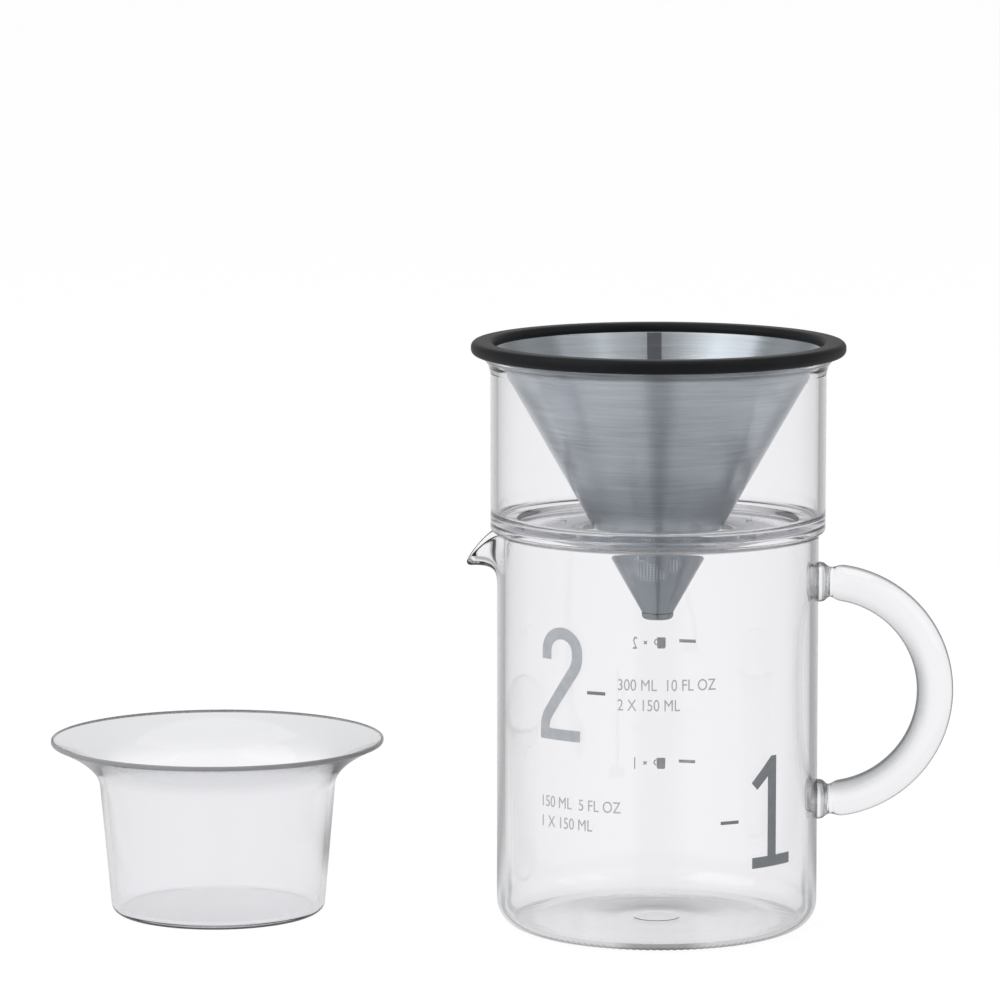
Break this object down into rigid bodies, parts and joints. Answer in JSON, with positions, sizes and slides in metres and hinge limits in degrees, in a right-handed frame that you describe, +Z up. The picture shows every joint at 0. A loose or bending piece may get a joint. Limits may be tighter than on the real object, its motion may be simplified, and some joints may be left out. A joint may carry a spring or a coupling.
{
  "type": "pour-over coffee carafe set",
  "caption": "Glass jug with a drawn spout and rod handle, clear brewer on its rim, steel cone filter hanging in it and a flared stand for the filter.",
  "frame": {"origin": "centre of the jug's foot, on the jug's axis, on the surface that the set stands on", "axes": "+Z up along the jug's axis, +X from the spout towards the handle, +Y to the back as pictured"},
  "size_m": [0.2342, 0.1071, 0.1517],
  "materials": {
    "jug_glass": "clear, fire polished",
    "handle_glass": "clear, fire polished",
    "brewer_plastic": "clear, gloss",
    "cone_steel": "fine etched mesh",
    "cap_steel": "satin",
    "ring_plastic": "satin black",
    "stand_plastic": "clear, gloss"
  },
  "bodies": {
    "jug": {"jug_body": "jug_glass", "jug_handle": "handle_glass"},
    "brewer": {"brewer_body": "brewer_plastic"},
    "filter": {"filter_cone": "cone_steel", "filter_cap": "cap_steel", "filter_ring": "ring_plastic"},
    "stand": {"stand_body": "stand_plastic"}
  },
  "joints": [
    {"name": "brewer_lift", "type": "slide", "parent": "jug", "child": "brewer", "axis": [0, 0, 1], "range_m": [0, 0.045]},
    {"name": "filter_lift", "type": "slide", "parent": "brewer", "child": "filter", "axis": [0, 0, 1], "range_m": [0, 0.08]},
    {"name": "stand_lift", "type": "slide", "parent": "jug", "child": "stand", "axis": [0, 0, 1], "range_m": [0, 0.06]}
  ]
}
